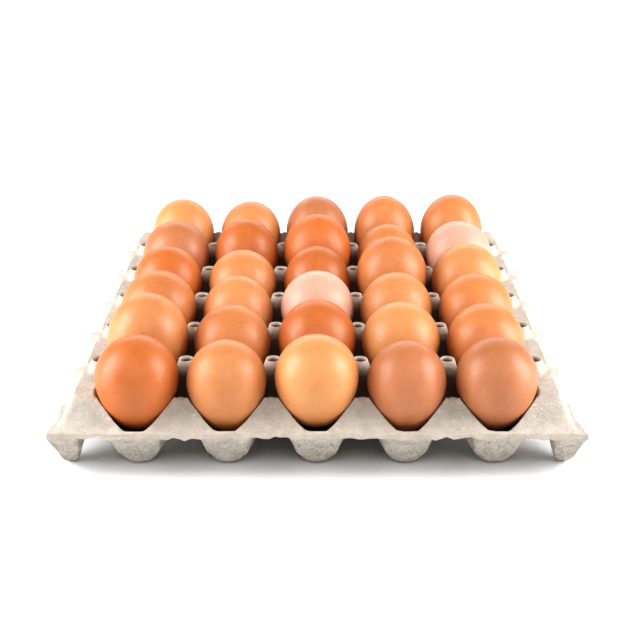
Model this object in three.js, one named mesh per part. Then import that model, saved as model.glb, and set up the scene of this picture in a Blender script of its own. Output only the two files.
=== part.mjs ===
// A moulded-pulp egg tray, five cups across and six deep, filled with thirty hen's eggs.
// Millimetres, +Z up. The tray stands on its feet on z = 0, centred on the origin:
// X runs along the five cups, Y along the six.
import * as THREE from 'three';

// Driving dimensions of the tray
const PITCH = 49;              // cup to cup, both ways
const COLUMNS = 5;
const ROWS = 6;
const WALL = 2.2;              // thickness of the pulp
const SADDLE_Z = 30;           // ridge between two neighbouring cups
const POST_Z = 50;             // top of the posts that stand where four cups meet
const POST_SLOPE = 1.27;       // fall of a post's flank, height over run
const CRATER_RADIUS = 4.2;     // funnel in the top of each post
const CRATER_DEPTH = 14;
const RIM_Z = 28;              // flat flange round the tray
const RIM_X = 138.8;           // where the flange begins at the sides
const RIM_Y = 142.2;           // and at the front and back
const FLANGE_X = 144.5;        // its outer edge
const FLANGE_Y = 147;
const LIP = 3.5;               // thickness of the flange at its outer edge
const CREST_Z = 42.5;          // top of the front and side walls
const FACE_SLOPE = 1.227;      // the front wall's outer face, height over run
const SIDE_FACE_SLOPE = 1.7;   // the side walls' steeper ones
const BACK_CREST_Z = 48;       // the back wall is higher and steeper
const BACK_FACE_SLOPE = 2;
const INNER_SLOPE = 1.4;       // fall of the front and back walls towards the cups
const SIDE_WALL_X = 121;       // inner edge of the side walls' flat tops
const PAD = 0.09;              // how far the cups close in towards the posts, where an egg rests
const PAD_START = 10;          // radius at which the pads begin, and the run over which they grow
const PAD_RUN = 8;
const NOTCH = 5.6;             // half the flat at the bottom of a notch between two half-posts
const NOTCH_START = 12;        // radius at which a cup begins to flatten towards its notch
const NOTCH_RUN = 6;
const RIDGE_Z = 45;            // ridges run from the side posts to the rim, this high at their roots
const RIDGE_ROOT_X = 129;
const RIDGE_FALL = 0.25;       // slope of their tops
const RIDGE_HALF_WIDTH = 2;
const RIDGE_FLANK_SLOPE = 1.5;
const RIDGE_END_SLOPE = 5;     // they end steeply at the rim
const FOOT_TOE = 5;            // how far the end feet's toes reach out from their cups' centres
const FOOT_FRONT_SLOPE = 1.333; // slope of their outward faces, up to the flange
const FOOT_SIDE_SLOPE = 3.6;   // slope of their flanks
const FOOT_HALF_WIDTH = 11;    // half the width of a cup's foot at its toe
const FOOT_CROWN = 7;          // rise of its rounded sole towards the flanks
const CORNER_FOOT_X = 137.5;   // narrower feet stand under the flange's four corners
const CORNER_HALF_WIDTH = 2.5;

// Inside outline of a cup: radius and height of its floor, heel, mouth and flare
const CUP_OUTLINE = [[4, WALL], [9, 5], [19.5, RIM_Z], [27.5, 56]];

// Driving dimensions of the eggs, row by row from the front, left to right
const EGG_LENGTHS = [
  [53, 51.5, 52.6, 51.5, 52.3],
  [58.5, 52, 54.7, 52.3, 52.2],
  [52.8, 53.2, 54, 53.3, 51.2],
  [54.5, 49.5, 55.2, 60, 54.8],
  [54, 57.8, 59.4, 55.3, 53.5],
  [56.7, 54.7, 59.4, 61, 60.5],
];
const EGG_WIDTHS = [
  [45.5, 43.8, 46, 43.4, 44.6],
  [46.6, 44.3, 45.5, 45.5, 44.9],
  [46, 43, 45.3, 44.9, 45.4],
  [44.3, 44.6, 43.5, 46.6, 45.5],
  [45.5, 44, 47, 43, 45.3],
  [44.2, 43.5, 45, 44, 45.3],
];
const EGG_KINDS = [
  ['brown', 'peach', 'golden', 'rose', 'rose'],
  ['peach', 'orange', 'brown', 'golden', 'orange'],
  ['orange', 'peach', 'pale', 'peach', 'orange'],
  ['brown', 'peach', 'brown', 'orange', 'golden'],
  ['rose', 'brown', 'brown', 'orange', 'pale'],
  ['golden', 'peach', 'rose', 'orange', 'orange'],
];
const EGG_COLOURS = {
  brown: 0xbd682f,
  orange: 0xcc7a42,
  golden: 0xd3904f,
  peach: 0xd6915f,
  rose: 0xc98160,
  pale: 0xdba084,
};
const EGG_UPPER_SHARE = 0.45;  // of the length above the widest girth, which is the blunt end
const EGG_POINT = 0.07;        // how much the lower end narrows beyond an ellipse
const EGG_LEAN = 2.5;          // largest lean of an egg, degrees
const EGG_CLEARANCE = 2.0;     // upright gap between an egg and its cup
const EGG_SIDES = 14;
const EGG_FACETING = 1.02;     // swells the flat facets to straddle the true round
const EGG_BANDS = 7;

const HALF = PITCH / 2;
const FOOT_STEPS = [-18, -9, 0, FOOT_TOE, 12]; // rim points along a corner foot, from its cup's centre
const RIM_STEP = 5.2;          // spacing of points along the rim in front of a cup
const POST_PATCH = 8;          // radius of the piece of surface that each post takes up
const CREST_RUN = (CREST_Z - RIM_Z) / FACE_SLOPE;
const BACK_CREST_RUN = (BACK_CREST_Z - RIM_Z) / BACK_FACE_SLOPE;
const FRONT_CREST_Y = -(RIM_Y - CREST_RUN);
const BACK_CREST_Y = RIM_Y - BACK_CREST_RUN;
const SIDE_CREST_X = RIM_X - (CREST_Z - RIM_Z) / SIDE_FACE_SLOPE;
const MOUTH_RADIUS = CUP_OUTLINE[2][0];
const SADDLE_REACH = CRATER_RADIUS + (POST_Z - SADDLE_Z) / POST_SLOPE;

const columnX = (column) => (column - (COLUMNS - 1) / 2) * PITCH;
const rowY = (row) => (row - (ROWS - 1) / 2) * PITCH;
const clamp = (value, low, high) => Math.min(high, Math.max(low, value));

// Upright distance between the two faces of a wall that leans by the given slope
const upright = (wall, slope) => wall * Math.hypot(1, slope);

// The outline moved outwards by the wall's thickness, with its corners mitred
function offsetOutline(outline, wall) {
  const moved = [];
  for (let k = 1; k < outline.length; k++) {
    const [[r0, z0], [r1, z1]] = [outline[k - 1], outline[k]];
    const slope = (z1 - z0) / (r1 - r0);
    moved.push({ slope, start: z0 - slope * r0 - upright(wall, slope) });
  }
  const points = [[-moved[0].start / moved[0].slope, 0]];
  for (let k = 1; k < moved.length; k++) {
    const radius = (moved[k - 1].start - moved[k].start) / (moved[k].slope - moved[k - 1].slope);
    points.push([radius, moved[k].slope * radius + moved[k].start]);
  }
  const last = moved[moved.length - 1];
  const end = outline[outline.length - 1][0] + wall;
  points.push([end, last.slope * end + last.start]);
  return points;
}
const CUP_OUTSIDE = offsetOutline(CUP_OUTLINE, WALL);

// Height of an outline at a radius: flat inside its first point, straight beyond its last
function outlineHeight(outline, radius) {
  if (radius <= outline[0][0]) return outline[0][1];
  let k = 1;
  while (k < outline.length - 1 && radius > outline[k][0]) k++;
  const [[r0, z0], [r1, z1]] = [outline[k - 1], outline[k]];
  return z0 + ((radius - r0) * (z1 - z0)) / (r1 - r0);
}

// A cup is round on its floor and closes in towards the four posts higher up. One in an end
// row is flat across its notch, which lies towards +Y or -Y by the sign of open.
function cupHeight(dx, dy, outline, open) {
  const round = Math.hypot(dx, dy);
  const stretch = MOUTH_RADIUS / (MOUTH_RADIUS - NOTCH);
  const flat = Math.hypot(stretch * Math.max(0, Math.abs(dx) - NOTCH), dy);
  const towards = clamp((dy * open) / MOUTH_RADIUS, 0, 1);
  const share = towards ** 4 * clamp((round - NOTCH_START) / NOTCH_RUN, 0, 1);
  const radius = round + (flat - round) * share;
  const diagonal = (1 - Math.cos(4 * Math.atan2(dy, dx))) / 2;
  const grown = clamp((radius - PAD_START) / PAD_RUN, 0, 1);
  return outlineHeight(outline, radius * (1 + PAD * diagonal * grown));
}

const notchSide = (row) => (row === 0 ? -1 : Number(row === ROWS - 1));

// Distance to the nearest post
function postDistance(x, y) {
  const column = clamp(Math.round((x + HALF) / PITCH + 2), 0, COLUMNS);
  const row = clamp(Math.round(y / PITCH), -(ROWS / 2 - 1), ROWS / 2 - 1);
  return Math.hypot(x - (columnX(column) - HALF), y - row * PITCH);
}

// A ridge from a side post out to the rim, where it ends steeply
function ridgeHeight(x, y) {
  const out = Math.abs(x);
  if (out < COLUMNS * HALF) return 0;
  const post = clamp(Math.round(y / PITCH), -(ROWS / 2 - 1), ROWS / 2 - 1) * PITCH;
  const across = Math.max(0, Math.abs(y - post) - RIDGE_HALF_WIDTH);
  const top = RIDGE_Z - RIDGE_FALL * (out - RIDGE_ROOT_X) - RIDGE_FLANK_SLOPE * across;
  return Math.min(top, RIM_Z + RIDGE_END_SLOPE * (RIM_X + 1 - out));
}

// An outer face of the tray: it rises inwards from the flat flange
function faceHeight(inward, slope, wall) {
  return Math.max(RIM_Z - wall, RIM_Z + slope * inward - upright(wall, slope));
}

// The land between the cups: saddles, posts, outer walls and flange.
// With a wall of 0 it is the upper surface, with the full wall the underside.
function landHeight(x, y, wall) {
  const distance = postDistance(x, y);
  const flank = POST_Z - POST_SLOPE * (distance - CRATER_RADIUS) - upright(wall, POST_SLOPE);
  const front = CREST_Z - INNER_SLOPE * (y - FRONT_CREST_Y) - upright(wall, INNER_SLOPE);
  const back = BACK_CREST_Z - INNER_SLOPE * (BACK_CREST_Y - y) - upright(wall, INNER_SLOPE);
  const side = CREST_Z - INNER_SLOPE * Math.max(0, SIDE_WALL_X - Math.abs(x)) - wall;
  let z = Math.max(SADDLE_Z - wall, Math.min(POST_Z - wall, flank));
  z = Math.max(z, Math.min(CREST_Z - wall, front), Math.min(BACK_CREST_Z - wall, back), side);
  z = Math.min(z, faceHeight(RIM_X - Math.abs(x), SIDE_FACE_SLOPE, wall));
  z = Math.max(z, ridgeHeight(x, y) - wall);
  z = Math.min(z, faceHeight(RIM_Y + y, FACE_SLOPE, wall));
  z = Math.min(z, faceHeight(RIM_Y - y, BACK_FACE_SLOPE, wall));
  const floor = POST_Z - CRATER_DEPTH;
  const steep = CRATER_DEPTH / CRATER_RADIUS;
  return Math.min(z, Math.max(floor - wall, floor + steep * distance - upright(wall, steep)));
}

// The tray's surface: cups pressed into the land
function surfaceHeight(x, y, wall) {
  const column = clamp(Math.round(x / PITCH + (COLUMNS - 1) / 2), 0, COLUMNS - 1);
  const row = clamp(Math.round(y / PITCH + (ROWS - 1) / 2), 0, ROWS - 1);
  const outline = wall ? CUP_OUTSIDE : CUP_OUTLINE;
  const cup = cupHeight(x - columnX(column), y - rowY(row), outline, notchSide(row));
  return Math.min(cup, landHeight(x, y, wall));
}

// The end rows' feet run out to the flange, and so do the narrow feet under its corners
function footHeight(x, y) {
  const out = Math.abs(y) - rowY(ROWS - 1);
  const outward = FOOT_FRONT_SLOPE * (out - FOOT_TOE);
  const inward = -FOOT_FRONT_SLOPE * out;
  const fromCorner = Math.abs(Math.abs(x) - CORNER_FOOT_X) - CORNER_HALF_WIDTH;
  const corner = Math.max(0, outward, inward, FOOT_SIDE_SLOPE * fromCorner);
  const fromCup = Math.abs(x - PITCH * Math.round(x / PITCH));
  const crown = FOOT_CROWN * Math.min(1, fromCup / FOOT_HALF_WIDTH) ** 1.6;
  const flank = crown + FOOT_SIDE_SLOPE * Math.max(0, fromCup - FOOT_HALF_WIDTH);
  const cup = Math.hypot(Math.max(0, outward), flank);
  const inCups = out > 0 && Math.abs(x) < COLUMNS * HALF;
  return inCups ? Math.min(corner, cup) : corner;
}

// The underside also carries the flange's lip and the feet round the edge
function undersideHeight(x, y) {
  const edge = Math.abs(x) > RIM_X + 1 || Math.abs(y) > RIM_Y + 1;
  const z = Math.min(surfaceHeight(x, y, WALL), footHeight(x, y));
  return edge ? Math.min(z, RIM_Z - LIP) : z;
}

// A thin shell over one layout of points in plan: every point is used by both faces
class Shell {
  constructor() {
    this.points = [];
    this.index = new Map();
    this.triangles = [];
  }

  point(x, y) {
    const key = `${Math.round(x * 1000)},${Math.round(y * 1000)}`;
    if (!this.index.has(key)) {
      this.index.set(key, this.points.length);
      this.points.push([x, y]);
    }
    return this.index.get(key);
  }

  // Adds a triangle with its upper face up, and drops one without area
  triangle(a, b, c) {
    const [[ax, ay], [bx, by], [cx, cy]] = [a, b, c];
    const area = (bx - ax) * (cy - ay) - (by - ay) * (cx - ax);
    if (Math.abs(area) < 1e-6) return;
    const corners = area > 0 ? [a, b, c] : [a, c, b];
    this.triangles.push(corners.map(([x, y]) => this.point(x, y)));
  }

  // Fills the band between two rows of points, each step going on along the row that lags
  // behind; measure gives a point's place along the rows
  band(first, second, measure) {
    let [i, j] = [0, 0];
    while (i < first.length - 1 || j < second.length - 1) {
      const nextFirst = i < first.length - 1 ? measure(first[i + 1]) : Infinity;
      const nextSecond = j < second.length - 1 ? measure(second[j + 1]) : Infinity;
      if (nextFirst <= nextSecond) {
        this.triangle(first[i], first[i + 1], second[j]);
        i++;
      } else {
        this.triangle(first[i], second[j + 1], second[j]);
        j++;
      }
    }
  }

  // Fills the band between two closed rings round a centre
  ringBand(inner, outer, [cx, cy]) {
    const turn = ([x, y]) => (Math.atan2(y - cy, x - cx) + 2 * Math.PI + 1e-9) % (2 * Math.PI);
    const opened = (ring) => {
      const sorted = ring.map((p) => ({ p, t: turn(p) })).sort((a, b) => a.t - b.t);
      return [...sorted, { p: sorted[0].p, t: sorted[0].t + 2 * Math.PI }];
    };
    const [first, second] = [opened(inner), opened(outer)];
    let [i, j] = [0, 0];
    while (i < first.length - 1 || j < second.length - 1) {
      const nextFirst = i < first.length - 1 ? first[i + 1].t : Infinity;
      const nextSecond = j < second.length - 1 ? second[j + 1].t : Infinity;
      if (nextFirst < nextSecond) {
        this.triangle(first[i].p, first[i + 1].p, second[j].p);
        i++;
      } else {
        this.triangle(first[i].p, second[j + 1].p, second[j].p);
        j++;
      }
    }
  }

  fan(ring, centre) {
    ring.forEach((p, k) => this.triangle(centre, p, ring[(k + 1) % ring.length]));
  }

  // Both faces and the edge between them, as one closed mesh
  geometry(upper, lower) {
    const count = this.points.length;
    const positions = new Float32Array(count * 6);
    this.points.forEach(([x, y], k) => {
      positions.set([x, y, upper(x, y)], 3 * k);
      positions.set([x, y, lower(x, y)], 3 * (k + count));
    });
    const faces = [];
    const open = new Set();
    for (const [a, b, c] of this.triangles) {
      faces.push(a, b, c, a + count, c + count, b + count);
      for (const [from, to] of [[a, b], [b, c], [c, a]]) {
        if (!open.delete(`${to},${from}`)) open.add(`${from},${to}`);
      }
    }
    for (const edge of open) {
      const [from, to] = edge.split(',').map(Number);
      faces.push(from, from + count, to + count, from, to + count, to);
    }
    const geometry = new THREE.BufferGeometry();
    geometry.setAttribute('position', new THREE.BufferAttribute(positions, 3));
    geometry.setIndex(faces);
    geometry.computeVertexNormals();
    return geometry;
  }
}

const circle = ([cx, cy], radius, sides) => Array.from({ length: sides }, (_, k) => {
  const angle = (2 * Math.PI * k) / sides;
  return [cx + radius * Math.cos(angle), cy + radius * Math.sin(angle)];
});

// The sharp edge where a cup cuts into the land round it, found along each direction
function mouthRing([cx, cy], sides, open) {
  return circle([0, 0], 1, sides).map(([ux, uy]) => {
    let [low, high] = [CUP_OUTLINE[1][0], HALF];
    for (let k = 0; k < 30; k++) {
      const radius = (low + high) / 2;
      const cup = cupHeight(radius * ux, radius * uy, CUP_OUTLINE, open);
      const land = landHeight(cx + radius * ux, cy + radius * uy, 0);
      if (cup < land) low = radius; else high = radius;
    }
    return [cx + low * ux, cy + low * uy];
  });
}

// Places along a line between two columns of cups where its height changes its fall
function ridgePlaces(row) {
  const reach = HALF - SADDLE_REACH;
  const [near, far] = [HALF - POST_PATCH, reach];
  const frontFoot = FRONT_CREST_Y + (CREST_Z - SADDLE_Z) / INNER_SLOPE;
  const backFoot = BACK_CREST_Y - (BACK_CREST_Z - SADDLE_Z) / INNER_SLOPE;
  const south = row === 0 ? [-RIM_Y, FRONT_CREST_Y, frontFoot] : [rowY(row) - near, rowY(row) - far];
  const last = row === ROWS - 1;
  const north = last ? [backFoot, BACK_CREST_Y, RIM_Y] : [rowY(row) + far, rowY(row) + near];
  return [...south, ...north];
}

// Places along the line between two rows of cups, or along the rim at the front and back
function crossPlaces(column, atRim) {
  const x = columnX(column);
  if (atRim) return [-3, -1, 1, 3].map((step) => x + step * RIM_STEP);
  const [near, far] = [HALF - POST_PATCH, HALF - SADDLE_REACH];
  return [x - near, x - far, x + far, x + near];
}

function cupCell(shell, column, row) {
  const centre = [columnX(column), rowY(row)];
  const [cx, cy] = centre;
  const floor = circle(centre, CUP_OUTLINE[0][0], 8);
  const heel = circle(centre, 10, 8);
  const waist = circle(centre, 15, 12);
  const mouth = mouthRing(centre, 16, notchSide(row));
  const border = [];
  for (const x of [cx - HALF, cx + HALF]) {
    for (const y of ridgePlaces(row)) border.push([x, y]);
  }
  for (const side of [-1, 1]) {
    const atRim = (side < 0 && row === 0) || (side > 0 && row === ROWS - 1);
    const y = atRim ? side * RIM_Y : cy + side * HALF;
    for (const x of crossPlaces(column, atRim)) border.push([x, y]);
    const diagonal = HALF - POST_PATCH * Math.SQRT1_2;
    if (!atRim) border.push([cx - diagonal, cy + side * diagonal], [cx + diagonal, cy + side * diagonal]);
  }
  shell.fan(floor, centre);
  shell.ringBand(floor, heel, centre);
  shell.ringBand(heel, waist, centre);
  shell.ringBand(waist, mouth, centre);
  shell.ringBand(mouth, border, centre);
}

function post(shell, x, y) {
  const outer = circle([x, y], POST_PATCH, 8);
  const rim = circle([x, y], CRATER_RADIUS, 8);
  shell.ringBand(rim, outer, [x, y]);
  shell.fan(rim, [x, y]);
}

// One long side: wall top, outer face and flange
function sideStrip(shell, side) {
  const along = ([, y]) => y;
  const line = side * COLUMNS * HALF;
  const diagonal = POST_PATCH * Math.SQRT1_2;
  const cornerBackY = RIM_Y - (CREST_Z - RIM_Z) / BACK_FACE_SLOPE;
  const crest = [[side * SIDE_CREST_X, FRONT_CREST_Y]];
  for (let row = 0; row < ROWS; row++) {
    const [first, last] = [row === 0, row === ROWS - 1];
    const y = rowY(row);
    const part = [];
    if (first) part.push([side * SIDE_CREST_X, FRONT_CREST_Y]);
    else part.push([line + side * diagonal, y - HALF + diagonal], [side * SIDE_CREST_X, y - PITCH / 4]);
    if (last) part.push([side * SIDE_CREST_X, cornerBackY]);
    else part.push([side * SIDE_CREST_X, y + PITCH / 4], [line + side * diagonal, y + HALF - diagonal]);
    const inner = ridgePlaces(row).filter((place) => Math.abs(place) < RIM_Y);
    shell.band(inner.map((place) => [line, place]), part, along);
    crest.push(...part.slice(first ? 1 : 0));
    if (!last) crest.push([line + side * POST_PATCH, y + HALF]);
  }
  const rim = sideRim().map((y) => [side * RIM_X, y]);
  shell.band(crest, rim, along);
  shell.band(rim, sideRim().map((y) => [side * FLANGE_X, y]), along);
  for (const [end, crestY] of [[-1, FRONT_CREST_Y], [1, cornerBackY]]) {
    const wallTop = end < 0 ? FRONT_CREST_Y : BACK_CREST_Y;
    shell.triangle([line, end * RIM_Y], [side * RIM_X, end * RIM_Y], [side * SIDE_CREST_X, crestY]);
    shell.triangle([line, end * RIM_Y], [side * SIDE_CREST_X, crestY], [line, wallTop]);
  }
}

// Places of the rim's points along the sides: closer together at the corner feet
function sideRim() {
  const footY = rowY(ROWS - 1);
  const foot = FOOT_STEPS.map((step) => footY + step);
  const places = [-RIM_Y, ...foot.map((y) => -y).reverse()];
  for (let k = 3 - ROWS; k <= ROWS - 3; k++) places.push((k * PITCH * 2) / 3);
  return [...places, ...foot, RIM_Y];
}

// The flange along the front or back, with its two corners
function endFlange(shell, end) {
  const places = [-RIM_X];
  for (let column = 0; column < COLUMNS; column++) {
    places.push(columnX(column) - HALF, ...crossPlaces(column, true));
  }
  places.push(COLUMNS * HALF, RIM_X);
  const along = ([x]) => x;
  const rim = places.map((x) => [x, end * RIM_Y]);
  shell.band(rim, places.map((x) => [x, end * FLANGE_Y]), along);
  for (const side of [-1, 1]) {
    const outer = [side * FLANGE_X, end * FLANGE_Y];
    shell.triangle([side * RIM_X, end * RIM_Y], [side * FLANGE_X, end * RIM_Y], outer);
    shell.triangle([side * RIM_X, end * RIM_Y], [side * RIM_X, end * FLANGE_Y], outer);
  }
}

function trayGeometry() {
  const shell = new Shell();
  for (let row = 0; row < ROWS; row++) {
    for (let column = 0; column < COLUMNS; column++) cupCell(shell, column, row);
  }
  for (let row = 1; row < ROWS; row++) {
    for (let column = 0; column <= COLUMNS; column++) {
      post(shell, columnX(column) - HALF, rowY(row) - HALF);
    }
  }
  for (const side of [-1, 1]) {
    sideStrip(shell, side);
    endFlange(shell, side);
  }
  return shell.geometry((x, y) => surfaceHeight(x, y, 0), undersideHeight);
}

// Outline of an egg, from its pointed lower pole to its blunt upper one
function eggOutline(length, width) {
  const upper = length * EGG_UPPER_SHARE;
  const lower = length - upper;
  return Array.from({ length: EGG_BANDS + 1 }, (_, k) => {
    const angle = -Math.PI / 2 + (Math.PI * k) / EGG_BANDS;
    const height = Math.sin(angle);
    const girth = EGG_FACETING * (width / 2) * Math.cos(angle) * (1 + EGG_POINT * Math.min(0, height));
    const pole = k === 0 || k === EGG_BANDS;
    return new THREE.Vector2(pole ? 0 : girth, height * (height < 0 ? lower : upper));
  });
}

// Where an upright line first meets a mesh, coming from above or from below
const DOWN = new THREE.Vector3(0, 0, -1);
const UP = new THREE.Vector3(0, 0, 1);
const line = new THREE.Raycaster();
function meet(mesh, x, y, direction) {
  line.set(new THREE.Vector3(x, y, -200 * direction.z), direction);
  const hits = line.intersectObject(mesh);
  return hits.length ? hits[0].point.z : NaN;
}

// The lowest height at which an egg hangs clear of the tray
function restHeight(egg, tray, cx, cy) {
  const eggPoints = egg.geometry.getAttribute('position');
  const trayPoints = tray.geometry.getAttribute('position');
  let lift = 0;
  for (let k = 0; k < eggPoints.count; k++) {
    const z = meet(tray, cx + eggPoints.getX(k), cy + eggPoints.getY(k), DOWN);
    lift = Math.max(lift, z + EGG_CLEARANCE - eggPoints.getZ(k));
  }
  for (let k = 0; k < trayPoints.count / 2; k++) {
    const [x, y] = [trayPoints.getX(k) - cx, trayPoints.getY(k) - cy];
    const z = Math.hypot(x, y) < HALF ? meet(egg, x, y, UP) : NaN;
    if (z < 0) lift = Math.max(lift, trayPoints.getZ(k) + EGG_CLEARANCE - z);
  }
  return lift;
}

// A repeatable draw between -1 and 1
let draw = 7;
function random() {
  draw = (draw * 16807) % 2147483647;
  return (2 * draw) / 2147483647 - 1;
}

const pulp = new THREE.MeshStandardMaterial({ color: 0xc4bcb1, roughness: 0.95, metalness: 0 });

const tray = new THREE.Mesh(trayGeometry(), pulp);
tray.name = 'tray';

const part = new THREE.Group();
part.add(tray);
for (let row = 0; row < ROWS; row++) {
  for (let column = 0; column < COLUMNS; column++) {
    const outline = eggOutline(EGG_LENGTHS[row][column], EGG_WIDTHS[row][column]);
    const geometry = new THREE.LatheGeometry(outline, EGG_SIDES);
    geometry.rotateX(Math.PI / 2);
    geometry.rotateX(THREE.MathUtils.degToRad(EGG_LEAN * random()));
    geometry.rotateY(THREE.MathUtils.degToRad(EGG_LEAN * random()));
    const colour = EGG_COLOURS[EGG_KINDS[row][column]];
    const material = new THREE.MeshStandardMaterial({ color: colour, roughness: 0.5, metalness: 0 });
    const egg = new THREE.Mesh(geometry, material);
    egg.name = `egg_r${row + 1}_c${column + 1}`;
    const [x, y] = [columnX(column), rowY(row)];
    egg.position.set(x, y, restHeight(egg, tray, x, y));
    part.add(egg);
  }
}

export default part;
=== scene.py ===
"""A moulded-pulp egg tray filled with brown eggs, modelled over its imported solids."""

import math

import bmesh
import bpy
import numpy as np
from bpy.props import FloatProperty, FloatVectorProperty, PointerProperty
from mathutils import Euler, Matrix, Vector, noise


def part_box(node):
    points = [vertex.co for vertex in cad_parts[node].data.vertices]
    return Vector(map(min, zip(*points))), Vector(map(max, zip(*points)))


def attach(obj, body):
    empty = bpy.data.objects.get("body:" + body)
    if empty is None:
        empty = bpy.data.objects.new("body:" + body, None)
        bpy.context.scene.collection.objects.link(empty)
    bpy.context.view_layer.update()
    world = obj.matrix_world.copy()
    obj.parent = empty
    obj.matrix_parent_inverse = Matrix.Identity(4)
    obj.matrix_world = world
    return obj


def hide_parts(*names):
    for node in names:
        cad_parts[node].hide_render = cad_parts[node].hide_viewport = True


bl_info = {
    "name": "Egg tray with eggs",
    "version": (1, 0, 0),
    "blender": (4, 5, 0),
    "location": "View3D > Sidebar > Egg tray",
    "description": "Models a moulded-pulp egg tray and its eggs over the packed solids",
    "category": "Object",
}

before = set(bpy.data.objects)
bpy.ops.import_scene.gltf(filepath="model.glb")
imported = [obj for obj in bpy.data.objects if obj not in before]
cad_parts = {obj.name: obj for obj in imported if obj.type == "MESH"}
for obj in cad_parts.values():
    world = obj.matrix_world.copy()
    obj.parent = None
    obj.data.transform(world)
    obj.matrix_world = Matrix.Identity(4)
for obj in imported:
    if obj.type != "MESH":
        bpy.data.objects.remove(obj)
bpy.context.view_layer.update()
MM = 0.001

# The tray, in millimetres: its cups, and the posts and saddles between them
PITCH = 49.0
HALF = PITCH / 2
COLUMNS, ROWS = 5, 6
MIDDLE_COLUMN, MIDDLE_ROW = (COLUMNS - 1) / 2, (ROWS - 1) / 2
END_COLUMN_X, END_ROW_Y = MIDDLE_COLUMN * PITCH, MIDDLE_ROW * PITCH
SIDE_POST_X = COLUMNS * HALF
WALL = 2.2
RIM_Z = 28.0
CUP_OUTLINE = ((4.0, WALL), (9.0, 5.0), (19.5, RIM_Z), (27.5, 56.0))
CUP_SOFTNESS, CUP_SAMPLES = 0.9, 7  # how the outline's corners are rounded
PAD, PAD_START, PAD_RUN = 0.09, 10.0, 8.0  # how a cup closes in towards its posts
SADDLE_Z = 30.0
POST_Z, POST_SLOPE = 50.0, 3.0
CRATER_RADIUS, CRATER_DEPTH = 4.0, 14.0

# The outer walls, half-posts and notches
RIM_X, RIM_Y = 138.8, 142.2
CREST_Z, FACE_SLOPE = 42.5, 1.227
BACK_CREST_Z, BACK_FACE_SLOPE = 48.0, 2.0
SIDE_WALL_X, SIDE_FACE_SLOPE = 121.0, 2.3
INNER_SLOPE = 1.4
FRONT_CREST_Y = -(RIM_Y - (CREST_Z - RIM_Z) / FACE_SLOPE)
BACK_CREST_Y = RIM_Y - (BACK_CREST_Z - RIM_Z) / BACK_FACE_SLOPE
NOTCH = 5.6  # half of the flat at the bottom of each notch between half-posts
NOTCH_SNUG, SNUG_START = 1.4, 0.6  # how much closer to the egg a notch's sides come
NOTCH_REACH = 0.92  # how far out its bottom runs, as the cup's radius over the notch's
NOTCH_START, NOTCH_RUN = 12.0, 6.0  # where the cup's round turns into the notch
NOTCH_TURN = 4  # how suddenly it does so round the cup

# The ridges from the side posts down to the rim
RIDGE_Z, RIDGE_X, RIDGE_FALL = 45.0, 129.0, 0.25
RIDGE_WIDTH, RIDGE_FLANK = 4.0, 1.5
RIDGE_START, RIDGE_OVERRUN = 2.0, 1.0  # past the side posts' line, and past the rim
RIDGE_END_SLOPE = 5.0

# The flange, with a drooping tab beside each side post and flared corners
FLANGE_X, FLANGE_Y = 144.5, 147.0
SIDE_FLANGE_X = 141.6  # the flange's edge along the sides, between its tabs
LIP = 3.0
TAB_DROOP, TAB_CURL, TAB_WIDTH, TAB_SHIFT = 4.5, 1.5, 7.0, 5.0
FLARE_Y, FLARE_RUN = 128.0, 12.0
TEAR_GRAIN, TEAR_FINER, TEAR_FINE_SHARE = 90, 4.3, 0.6  # its edge, torn in and out
TEAR_REACH, TEAR_BIAS = 0.0065, 0.25
RAG_GRAIN, RAG_FINER = 150, 2.9  # and its lower side, torn up and down
RAG_DEPTH, RAG_LEAST, RAG_ROOM = 1.6, 1.2, 1.5

# The feet of the end rows, the four narrow corner feet, and the toe under each cup
FOOT_TOE = 5.0
FOOT_FRONT_SLOPE, FOOT_SIDE_SLOPE = 1.333, 3.6
FOOT_HALF_WIDTH = 11.0
FOOT_CROWN, FOOT_CROWN_CURVE = 7.0, 1.2
FOOT_ROUND = 3
CORNER_FOOT_X, CORNER_FOOT_TOE = 136.5, 2.0
CORNER_FOOT_WIDTH, CORNER_FOOT_CURVE = 7.5, 1.9  # from its toe out to the flange
TOE_RADIUS, TOE_SLOPE, TOE_REACH = 2.4, 0.65, 12.5
TOE_LEAST = 1.0  # the least pulp over a toe

# How softly the pulp's forms run into each other
TIP_BLEND, SADDLE_BLEND, CREST_BLEND, WALL_BLEND = 0.8, 4.0, 2.0, 2.5
FACE_BLEND, RIM_BLEND, RIDGE_BLEND, MOUTH_BLEND = 1.2, 1.5, 2.0, 0.9
FOOT_BLEND, UNDER_BLEND = 3.0, 2.0

# Where painted shade darkens the pulp's colour, and where painted light makes it paler
HOLE_EDGE = 0.7
DEEP_START, DEEP_RUN = 0.7, 6.0  # below the posts' tops
DEEP_X, DEEP_X_RUN, DEEP_Y, DEEP_Y_RUN = 120.0, 4.0, 127.0, 5.0
TIP_Z, TIP_RUN, SIDE_TIP = 44.0, 5.0, 0.2
UNDER_SHADE = 0.6  # how much painted shade darkens the pulp under the middle of the tray
UNDER_X, UNDER_Y, UNDER_RUN = 122.0, 116.0, 8.0

# The pulp's unevenness: patches to a metre, heights in millimetres, cracks in metres
BROAD_GRAIN, FINE_GRAIN, FINE_SHARE = 55, 210, 0.4
CRACKS_TOP, CRACKS_FULL = 26.0 * MM, 19.0 * MM  # the heights below which the feet crack
UNDER_BROAD, UNDER_FINE = 0.3, 0.9
FOOT_EVEN = 6.0  # the height over which the feet grow uneven

# Where each piece's noise starts, for its number
RELIEF_START = (3.7, 1.3, 5.1)
EGG_START = (2.1, 0.7, 0)
SHELL_START = (0.31, 0.17, 0.05)
STRAY_START, STRAY_LINE, STRAY_GAIN = 1.7, (0.3, 0.9), 2

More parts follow.
